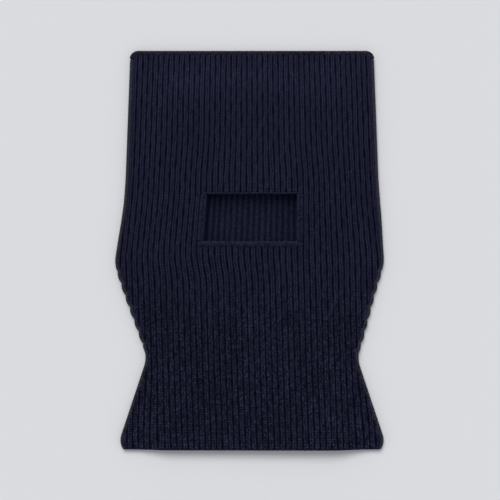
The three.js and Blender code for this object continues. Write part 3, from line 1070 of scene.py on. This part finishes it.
# Painted highlight: the side seams' colour is paler and greyer for the light that catches their fuzz.
SEAM_PAINTED_RIM_LIGHT = (0.0260, 0.0261, 0.0375)
# Painted shade: the crown seam's colour is darker, so that it doesn't glare in the light from beyond the
# crown.
CROWN_PAINTED_DARKER = (0.0135, 0.0140, 0.0225)
BOUND_LIT = (0.0120, 0.0129, 0.0280)
BAND_LIT = (0.0100, 0.0108, 0.0248)
LABEL_LIT, LABEL_PAINTED_SHADE = (0.30, 0.31, 0.34), (0.2, 0.2, 0.22)
rib_yarn = yarn_material("navy_rib_yarn", NAVY_LIT, NAVY_PAINTED_SHADE, mottle=0.9, bump=0.5, sheen=0.03)
hem_yarn = yarn_material("navy_hem_yarn", HEM_PAINTED_LIGHTER, NAVY_PAINTED_SHADE, mottle=0.9, bump=0.5, sheen=0.03)
seam_yarn = yarn_material("navy_linking_yarn", SEAM_PAINTED_RIM_LIGHT, NAVY_PAINTED_SHADE, mottle=0.7, bump=0.5, sheen=0.12)
crown_yarn = yarn_material("navy_crown_yarn", CROWN_PAINTED_DARKER, NAVY_PAINTED_SHADE, mottle=0.8, bump=0.5, sheen=0.04)
bound_off_yarn = yarn_material("navy_bound_off_yarn", BOUND_LIT, NAVY_PAINTED_SHADE, mottle=0.4, bump=0.4, sheen=0.03)
band_yarn = yarn_material("navy_band_yarn", BAND_LIT, NAVY_PAINTED_SHADE, mottle=0.35, bump=0.3, sheen=0.02)
label_weave = yarn_material("label_weave", LABEL_LIT, LABEL_PAINTED_SHADE, mottle=0.1, bump=0.2, sheen=0.02)

# %% [markdown]
# ## Giving each piece its place
# Each piece gets its material, joins the garment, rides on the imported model's one body and stands for a
# node of it, which is hidden then. A list says all that in one place, so that no piece is forgotten.

# %% Pieces and the nodes they stand for
PIECES = [
    (front, rib_yarn, "navy_rib", ["front_panel"]),
    (back, rib_yarn, "navy_rib", ["back_panel"]),
    (front_welt, hem_yarn, "navy_rib", ["front_hem_welt"]),
    (back_welt, hem_yarn, "navy_rib", ["back_hem_welt"]),
    (left_seam, seam_yarn, "linking_seam", ["left_side_seam"]),
    (right_seam, seam_yarn, "linking_seam", ["right_side_seam"]),
    (crown, crown_yarn, "linking_seam", ["crown_seam"]),
    (bound_off, bound_off_yarn, "edging", ["opening_edge_bottom"]),
    (cast_on, band_yarn, "edging", ["opening_edge_top"]),
    (left_edge, band_yarn, "edging", ["opening_edge_left"]),
    (right_edge, band_yarn, "edging", ["opening_edge_right"]),
    (label, label_weave, "label_ribbon", ["neck_label"]),
]
garment = bpy.data.collections.new("garment")
bpy.context.scene.collection.children.link(garment)
for piece, material, slot, nodes in PIECES:
    piece.data.materials.append(material)
    garment.objects.link(piece)
    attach(piece, BODY)
    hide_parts(*nodes)
print(len(PIECES), "pieces stand for", sum(len(nodes) for *_, nodes in PIECES), "nodes")

# %% [markdown]
# ## What the cloth was cut to
# The panels' width at the jaw and their flat area, as they are when laid out, are worked out here. A panel
# isn't a rectangle, so its flat area is added up from its width at many heights.

AREA_STEPS = 800


def flat_area(low, high):
    """The area of a flat panel between two heights: its mean width times its length."""
    heights = np.linspace(low, high, AREA_STEPS)
    return float(np.mean(2 * (half_width(heights) - EDGE_UNDER_SEAM)) * (high - low))


panel_width = 2 * float(half_width(JAW) - EDGE_UNDER_SEAM)
panel_area = flat_area(WELT, PANEL_TOP)

# %% [markdown]
# ## The studio
# A plain pale floor, and soft light. The key is a very wide sun from beyond the crown, a little to the
# left. It lights the whole floor alike, which an area light close by couldn't, draws the ribs and drops a
# soft shadow inside the face opening. Soft panels all round lift the rims of the dark cloth. A flag under a
# studio light keeps it off the table, and light linking does the same here, so the panels leave no glare on
# the floor.

# %% Floor
FLOOR_HALF = 4.0
FLOOR_COLOUR = (0.9, 0.9, 0.91, 1)


def make_floor():
    """A matt square far larger than the garment, with its upper face at height 0."""
    mesh = bpy.data.meshes.new("floor")
    corners = [(FLOOR_HALF * x, FLOOR_HALF * y, 0) for x, y in ((-1, -1), (1, -1), (1, 1), (-1, 1))]
    mesh.from_pydata(corners, [], [(0, 1, 2, 3)])
    floor = bpy.data.objects.new("floor", mesh)
    bpy.context.scene.collection.objects.link(floor)
    material, nodes, links = new_material("pale_floor")
    nodes["Principled BSDF"].inputs["Base Color"].default_value = FLOOR_COLOUR
    nodes["Principled BSDF"].inputs["Roughness"].default_value = 1.0
    nodes["Principled BSDF"].inputs["Specular IOR Level"].default_value = 0.0
    mesh.materials.append(material)
    return floor


floor = make_floor()
print("floor", 2 * FLOOR_HALF, "m wide")

# %% Lights
KEY_ANGLE = np.radians(32)
KEY_PLACE, KEY_POWER = (-0.2, 0.8, 1.2), 1.4
PANEL_SIDE = 0.5
PANELS = [("crown", (0.0, 0.7, 0.3), 3.6), ("left", (-0.9, 0.1, 0.5), 2.6),
          ("right", (0.9, 0.1, 0.5), 2.0), ("hem", (0.1, -0.95, 0.4), 0.8)]


def add_light(data, place, power):
    """A light at a place, turned to the middle of the garment."""
    data.energy = power
    light = bpy.data.objects.new(data.name, data)
    bpy.context.scene.collection.objects.link(light)
    light.location = place
    light.rotation_mode = "QUATERNION"
    light.rotation_quaternion = (-Vector(place)).to_track_quat("-Z", "Y")
    print("light", data.name, "at", place)
    return light


def wide_key(name, place, angle, power):
    """A very wide sun, which lights the whole floor alike and throws soft shadows."""
    data = bpy.data.lights.new(name, "SUN")
    data.angle = angle
    return add_light(data, place, power)


def flagged_panel(name, place, power):
    """A soft panel that lights only the garment."""
    data = bpy.data.lights.new(name, "AREA")
    data.shape = "SQUARE"
    data.size = PANEL_SIDE
    light = add_light(data, place, power)
    light.light_linking.receiver_collection = garment
    return light


wide_key("key", KEY_PLACE, KEY_ANGLE, KEY_POWER)
for name, place, power in PANELS:
    flagged_panel(name, place, power)

# %% [markdown]
# ## The surround
# The world is dim where it lights the cloth, so that the furrows stay dark, and pale where it is seen
# behind the floor from low down, so that the horizon stays faint. A painted backdrop would do that too, but
# it would throw light of its own. The view transform is plain, because a filmic one would grey the navy.
# The denoiser reads the colours of the cloth as they are, or it would iron out the yarn.

# %% Surround and view
SURROUND_COLOUR = (0.92, 0.94, 1, 1)
SURROUND_LIGHT = 0.45
SURROUND_SEEN = 0.72


def make_surround():
    """A world whose strength is SURROUND_LIGHT, or SURROUND_SEEN where it is looked at directly."""
    world = bpy.data.worlds.new("surround")
    world.use_nodes = True
    nodes, links = world.node_tree.nodes, world.node_tree.links
    background = nodes["Background"]
    background.inputs["Color"].default_value = SURROUND_COLOUR
    seen = nodes.new("ShaderNodeLightPath").outputs["Is Camera Ray"]
    strength = nodes.new("ShaderNodeMapRange")
    fill_sockets(links, (strength.inputs["Value"], strength.inputs["To Min"], strength.inputs["To Max"]),
                 (seen, SURROUND_LIGHT, SURROUND_SEEN))
    links.new(strength.outputs["Result"], background.inputs["Strength"])
    bpy.context.scene.world = world
    return world


surround = make_surround()
bpy.context.scene.view_settings.view_transform = "Standard"
bpy.context.scene.cycles.denoising_prefilter = "NONE"
print("surround", surround.name, "with", len(surround.node_tree.nodes), "nodes")

# %% [markdown]
# ## The imported model's box
# The box of the imported model is printed.

# %% Print the imported model's box
print("cad box", [round(v, 4) for v in (*cad_low, *cad_high)])
